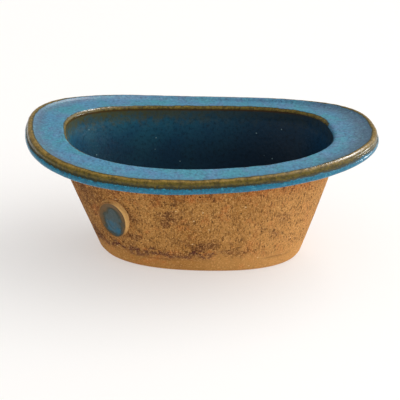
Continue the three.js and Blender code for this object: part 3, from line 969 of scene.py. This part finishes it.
def rim_glaze():
    """Blue where it lies thick, dark where it starts to thin, then olive, and golden on the crests, where
    the glaze breaks thinnest, partly as a painted highlight along them.
    """
    s = Shader("rim_glaze")
    thin = s.attribute("thin")
    broken = s.ramp(s.noise(1.0, 4, 0.7, s.place(shift=53)), 0.3, 0.7, -0.1, 0.1)
    thin = s.plus(thin, s.times(broken, s.ramp(thin, 0, 0.08)))
    patch = s.noise(2.0, 4, 0.7)
    olive = s.mix(s.ramp(patch, 0.4, 0.62), OLIVE, DARK_OLIVE)
    gold_and_highlight = s.mix(s.ramp(patch, 0.36, 0.66), GOLD_AND_CREST_HIGHLIGHT, DULL_GOLD)
    colour = s.mix(s.ramp(thin, 0.06, 0.26), thick_rim_glaze(s), THINNING)
    colour = s.mix(s.ramp(thin, 0.36, 0.55), colour, olive)
    # golden where thinnest: partly the glaze's own break, partly a painted highlight along the crests
    colour = s.mix(s.ramp(thin, 0.68, 0.95), colour, gold_and_highlight)

    on_lip = s.ramp(s.attribute("lip"), 0, 1, 0.42, 0.14)
    roughness = s.math("MINIMUM", s.ramp(thin, 0.1, 0.6, 0.42, 0.24), on_lip)
    normal = s.bump(s.noise(1.4, 3, 0.5), 0.1)
    return s.surface(colour, roughness, normal, Specular_IOR_Level=0.3)


def lining_glaze():
    """Dark teal with an olive veil under the edge, painted shade towards the right, darker deeper down
    partly as painted shade, and a few pale flecks painted in as sparkle highlights.
    """
    s = Shader("lining_glaze")
    depth = s.attribute("depth")
    colour = s.mix(s.ramp(s.noise(20, 4), 0.35, 0.65), LINING_BLUE, LINING_TEAL)
    # painted shade: darker towards the right, where the rim shades the lining
    colour = s.mix(s.ramp(s.x, -35, 45), colour, LINING_PAINTED_SHADE)
    colour = s.mix(s.ramp(s.x, 50, 66, 0, 0.6), colour, LINING_END)
    colour = s.mix(s.ramp(s.noise(1.6, 5, 0.7), 0.46, 0.72, 0, 0.6), colour, LINING_CLOUD)
    # darker deeper down: partly thicker glaze, partly painted shade inside the pot
    colour = s.mix(s.ramp(depth, 4, 26, 0, 0.6), colour, LINING_DEEP_GLAZE_AND_SHADE)

    wandering = s.plus(depth, s.ramp(s.noise(3.5, 5, 0.75), 0.3, 0.7, -3, 3))
    veil = s.times(s.ramp(wandering, 0, 10, 0.9, 0), s.ramp(s.x, -50, 30, 1, 0.3))
    edge = s.times(s.ramp(depth, 0.2, 1.4, 0.9, 0), s.ramp(s.x, 40, 66, 1, 0))
    # painted highlights: pale specks for the sparkle of bubbles in the glaze
    painted_sparkle = s.specks(4.5, share=0.3, inner=0.04, outer=0.1)
    colour = s.mix(veil, colour, LINING_VEIL)
    colour = s.mix(edge, colour, LINING_EDGE)
    colour = s.mix(s.times(painted_sparkle, 0.7), colour, LINING_SPARKLE_PAINT)
    normal = s.bump(s.noise(2.0, 3, 0.5), 0.15)
    return s.surface(colour, 0.3, normal, Specular_IOR_Level=0.2)


def seal_glaze():
    """Blue towards the low end of the pool, grey at the top, and dark olive then brown at the border,
    reaching further in towards the top.
    """
    s = Shader("seal_glaze")
    low = s.plus(s.attribute("low"), s.ramp(s.noise(4, 2, 0.5), 0.3, 0.7, -0.12, 0.12))
    edge = s.plus(s.attribute("edge"), s.ramp(s.noise(3, 4, 0.6), 0.3, 0.7, -0.1, 0.1))
    border = s.minus(edge, s.times(low, 0.5))
    colour = s.mix(s.ramp(low, 0.45, 0.9), POOL_GREY, POOL_BLUE)
    colour = s.mix(s.ramp(s.noise(1.3, 4, 0.6), 0.5, 0.7, 0, 0.5), colour, POOL_HAZE)
    colour = s.mix(s.ramp(border, 0.14, 0.4, 0, 0.85), colour, POOL_BORDER)
    colour = s.mix(s.ramp(border, 0.34, 0.6, 0, 0.95), colour, POOL_BROWN)
    return s.surface(colour, 0.25, s.bump(s.noise(1.2, 3, 0.5), 0.1), Specular_IOR_Level=0.25)


# ---- Screens and clips, which keep their CAD shapes ------------------------------------
BLACK_PLASTIC, DUST = srgb(30, 32, 33), srgb(98, 86, 70)
BROWN_WIRE, DARK_WIRE = srgb(150, 112, 82), srgb(104, 76, 58)
WELD_DISTANCE = 0.01
SCREEN_ROUNDING = 0.12


def screen_plastic():
    s = Shader("screen_plastic")
    dust = s.ramp(s.noise(5, 5, 0.65), 0.5, 0.75, 0, 0.35)
    grain = s.noise(0.5, 3)
    roughness = s.ramp(grain, 0.3, 0.7, 0.45, 0.65)
    return s.surface(s.mix(dust, BLACK_PLASTIC, DUST), roughness, s.bump(grain, 0.03))


def clip_wire():
    s = Shader("clip_wire")
    drawn = s.noise(0.4, 3, 0.5, s.place(stretch=(8, 1, 1)))
    colour = s.mix(s.ramp(s.noise(4, 4), 0.4, 0.7), BROWN_WIRE, DARK_WIRE)
    return s.surface(colour, s.ramp(drawn, 0.3, 0.7, 0.28, 0.45), s.bump(drawn, 0.02), Metallic=1.0)


def dress_cad_node(name, material, rounding=0.0, rounds=0):
    """Gives a CAD node its material and soft edges, with modifiers only."""
    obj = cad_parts[name]
    obj.data.materials.clear()
    obj.data.materials.append(material)
    weld = obj.modifiers.new("weld", "WELD")
    weld.merge_threshold = WELD_DISTANCE * MM
    if rounding:
        bevel = obj.modifiers.new("bevel", "BEVEL")
        bevel.width = rounding * MM
        bevel.segments = 2
    if rounds:
        smooth = obj.modifiers.new("smooth", "SUBSURF")
        smooth.levels = smooth.render_levels = rounds


# ---- Stage -----------------------------------------------------------------------------
# The camera: where it looks, from how far in metres and at what angles in degrees.
VIEW_TARGET = Vector((-0.09, 1.5, 25.36)) * MM
VIEW_DISTANCE = 0.65
VIEW_AZIMUTH = -3.04
VIEW_ELEVATION = 25.5
VIEW_ROLL = 2.74
LENS = 112.0
SENSOR = 36

FLOOR_HALF_SIZE = 6.0
FLOOR_GREY, FLOOR_WHITE = srgb(191, 189, 187), srgb(255, 254, 253)
FLOOR_GLOW = 0.43
SKY_COLOUR = (1.0, 0.995, 0.985, 1)
SKY_STRENGTH = 0.67
SKY_IN_REFLECTIONS = 0.4
PANE_DISTANCE = 1.2


def look_at(obj, place, target, roll=0.0):
    back = (place - target).normalized()
    right = Vector((0, 0, 1)).cross(back).normalized()
    turn = Matrix((right, back.cross(right), back)).transposed().to_4x4()
    obj.matrix_world = Matrix.Translation(place) @ turn @ Matrix.Rotation(math.radians(roll), 4, "Z")


def from_angles(azimuth, elevation, distance):
    """A place at distance, with azimuth 0 in front of the pot and growing towards its right."""
    a, e = math.radians(azimuth), math.radians(elevation)
    return Vector((math.sin(a) * math.cos(e), -math.cos(a) * math.cos(e), math.sin(e))) * distance


def add_camera():
    data = bpy.data.cameras.new("camera")
    data.lens = LENS
    data.sensor_width = SENSOR
    data.clip_start = 0.01
    camera = bpy.data.objects.new("camera", data)
    bpy.context.scene.collection.objects.link(camera)
    place = VIEW_TARGET + from_angles(VIEW_AZIMUTH, VIEW_ELEVATION, VIEW_DISTANCE)
    look_at(camera, place, VIEW_TARGET, VIEW_ROLL)
    bpy.context.scene.camera = camera


def add_light(data, azimuth, elevation, distance):
    light = bpy.data.objects.new(data.name, data)
    bpy.context.scene.collection.objects.link(light)
    look_at(light, VIEW_TARGET + from_angles(azimuth, elevation, distance), VIEW_TARGET)
    return light


def add_highlight(name, azimuth, elevation, width, height, radiance):
    """A window pane that only shows as a reflection. Its width and height are in metres."""
    data = bpy.data.lights.new(name, "AREA")
    data.shape = "RECTANGLE"
    data.size = width
    data.size_y = height
    data.energy = radiance * math.pi * width * height
    add_light(data, azimuth, elevation, PANE_DISTANCE).visible_diffuse = False


def add_sun(azimuth, elevation, spread, strength, colour):
    """Daylight from a wide window: spread is how many degrees of the sky it fills."""
    data = bpy.data.lights.new("window", "SUN")
    data.angle = math.radians(spread)
    data.energy = strength
    data.color = colour
    add_light(data, azimuth, elevation, distance=1.0)


def add_floor():
    size = FLOOR_HALF_SIZE
    corners = [(-size, -size, 0), (size, -size, 0), (size, size, 0), (-size, size, 0)]
    floor = new_object("floor", np.array(corners) / MM, [(0, 1, 2, 3)])
    glow = {"Emission_Color": FLOOR_WHITE, "Emission_Strength": FLOOR_GLOW}
    floor.data.materials.append(Shader("pale_floor").surface(FLOOR_GREY, 0.7, **glow))


def add_sky():
    """Even pale light from all round, dimmer in reflections."""
    world = bpy.data.worlds.new("studio")
    world.use_nodes = True
    tree = world.node_tree
    sky = tree.nodes["Background"]
    sky.inputs["Color"].default_value = SKY_COLOUR
    rays = tree.nodes.new("ShaderNodeLightPath")
    dimmed = tree.nodes.new("ShaderNodeMapRange")
    dimmed.inputs["To Min"].default_value = SKY_STRENGTH
    dimmed.inputs["To Max"].default_value = SKY_IN_REFLECTIONS
    tree.links.new(rays.outputs["Is Glossy Ray"], dimmed.inputs["Value"])
    tree.links.new(dimmed.outputs[0], sky.inputs["Strength"])
    bpy.context.scene.world = world


def add_stage():
    bpy.context.scene.view_settings.view_transform = "Standard"
    add_floor()
    add_sky()
    add_sun(azimuth=98, elevation=31, spread=90, strength=2.5, colour=(1, 0.985, 0.965))
    add_highlight("high_pane", azimuth=126, elevation=52, width=0.8, height=0.1, radiance=60)
    add_highlight("low_pane", azimuth=98, elevation=3, width=0.4, height=0.09, radiance=60)
    add_camera()


# ---- Assembly --------------------------------------------------------------------------
clay = raw_clay()
finish_piece(make_wall(), clay, "body_wall")
finish_piece(make_floor(), clay, "floor_slab")
finish_piece(make_rim_clay(), clay, "rim_slab")
finish_piece(make_rim_glaze(), rim_glaze(), "rim_glaze")
finish_piece(make_lining(), lining_glaze(), "lining_glaze")
finish_piece(make_seal_pad(), clay, "seal_pad")
finish_piece(make_seal_glaze(), seal_glaze(), "seal_glaze")
plastic, wire = screen_plastic(), clip_wire()
for side in ("left", "right"):
    dress_cad_node(f"drain_screen_{side}", plastic, rounding=SCREEN_ROUNDING)
    dress_cad_node(f"screen_clip_{side}", wire, rounds=1)
add_stage()
